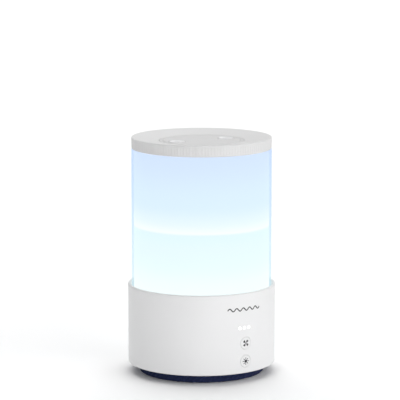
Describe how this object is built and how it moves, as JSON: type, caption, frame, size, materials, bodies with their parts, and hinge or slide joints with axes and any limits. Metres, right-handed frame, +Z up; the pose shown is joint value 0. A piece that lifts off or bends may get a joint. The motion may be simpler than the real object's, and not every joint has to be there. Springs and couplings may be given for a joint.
{
  "type": "cool mist humidifier",
  "caption": "Round table-top ultrasonic humidifier: white base with buttons, lift-off lit translucent tank, and a lid with a turning dial that carries two mist nozzles.",
  "frame": {"origin": "under the middle of the foot, on the surface that it stands on", "axes": "+Z up along the axis of the round body, -Y towards the buttons, +Y towards the power inlet"},
  "size_m": [0.155, 0.1558, 0.249],
  "materials": {
    "white_plastic": "smooth satin white moulding",
    "lid_plastic": "satin white moulding with a finely ribbed rim",
    "dial_plastic": "fine matte grain",
    "nozzle_plastic": "polished white",
    "navy_plastic": "dark navy, slanted ribs",
    "tray_plastic": "smooth white",
    "tank_plastic": "frosted translucent, lit from below",
    "clear_plastic": "clear to slightly frosted",
    "light_guide": "clear light guide, lit",
    "float_plastic": "foamed white",
    "black_plastic": "fine grain black",
    "lead_plastic": "flexible insulation",
    "circuit_board": "solder-masked board with components",
    "silicone": "soft translucent silicone",
    "rubber": "matte black rubber",
    "steel": "plated steel",
    "transducer_steel": "polished stainless disc",
    "magnet": "dark sintered ferrite",
    "aluminium": "extruded"
  },
  "bodies": {
    "base": {"base_shell": "white_plastic", "bottom_cover": "navy_plastic", "foot_pad_1": "rubber", "foot_pad_2": "rubber", "foot_pad_3": "rubber", "foot_pad_4": "rubber", "cover_screw_1": "steel", "cover_screw_2": "steel", "cover_screw_3": "steel", "cover_screw_4": "steel", "water_tray": "tray_plastic", "tray_seal": "silicone", "transducer_seal": "silicone", "transducer_disc": "transducer_steel", "transducer_retainer": "black_plastic", "retainer_screw_1": "steel", "retainer_screw_2": "steel", "led_ring_board": "circuit_board", "light_diffuser": "light_guide", "main_board": "circuit_board", "heat_sink": "aluminium", "control_board": "circuit_board", "mist_switch": "black_plastic", "light_switch": "black_plastic", "indicator_light_pipe": "light_guide", "reed_sensor": "black_plastic", "power_inlet": "black_plastic", "power_lead": "lead_plastic", "transducer_lead": "lead_plastic", "control_ribbon": "lead_plastic", "fan_housing": "black_plastic", "fan_motor": "steel", "air_duct": "tray_plastic", "float_cap": "tray_plastic"},
    "fan": {"fan_impeller": "black_plastic"},
    "float": {"float": "float_plastic", "float_magnet": "magnet"},
    "mist_button": {"mist_button": "white_plastic"},
    "light_button": {"light_button": "white_plastic"},
    "tank": {"tank_shell": "tank_plastic", "tank_floor": "clear_plastic", "mist_tube": "clear_plastic", "valve_seat": "clear_plastic", "valve_cage": "clear_plastic"},
    "valve": {"valve_pin": "tray_plastic", "valve_washer": "rubber", "valve_spring": "steel"},
    "lid": {"lid_cover": "lid_plastic", "lid_liner": "white_plastic", "lid_seal": "silicone"},
    "dial": {"nozzle_dial": "dial_plastic", "nozzle_left": "nozzle_plastic", "nozzle_right": "nozzle_plastic", "dial_retainer": "white_plastic"}
  },
  "joints": [
    {"name": "tank_lift", "type": "slide", "parent": "base", "child": "tank", "axis": [0, 0, 1], "range_m": [0, 0.06]},
    {"name": "lid_lift", "type": "slide", "parent": "tank", "child": "lid", "axis": [0, 0, 1], "range_m": [0, 0.05]},
    {"name": "dial_turn", "type": "hinge", "parent": "lid", "child": "dial", "pos_m": [0, 0, 0.2454], "axis": [0, 0, 1], "continuous": true},
    {"name": "valve_slide", "type": "slide", "parent": "tank", "child": "valve", "axis": [0, 0, 1], "range_m": [-0.003, 0], "deforming": ["valve_spring"]},
    {"name": "float_rise", "type": "slide", "parent": "base", "child": "float", "axis": [0, 0, 1], "range_m": [0, 0.0055]},
    {"name": "mist_press", "type": "slide", "parent": "base", "child": "mist_button", "axis": [0, 1, 0], "range_m": [0, 0.0006], "stiffness_N_per_m": 900},
    {"name": "light_press", "type": "slide", "parent": "base", "child": "light_button", "axis": [0, 1, 0], "range_m": [0, 0.0006], "stiffness_N_per_m": 900},
    {"name": "fan_spin", "type": "hinge", "parent": "base", "child": "fan", "pos_m": [0, 0.038, 0.0205], "axis": [0, 0, 1], "continuous": true}
  ],
  "couplings": [
    {"joint": "valve_slide", "follows": "tank_lift", "ratio": -0.05}
  ]
}
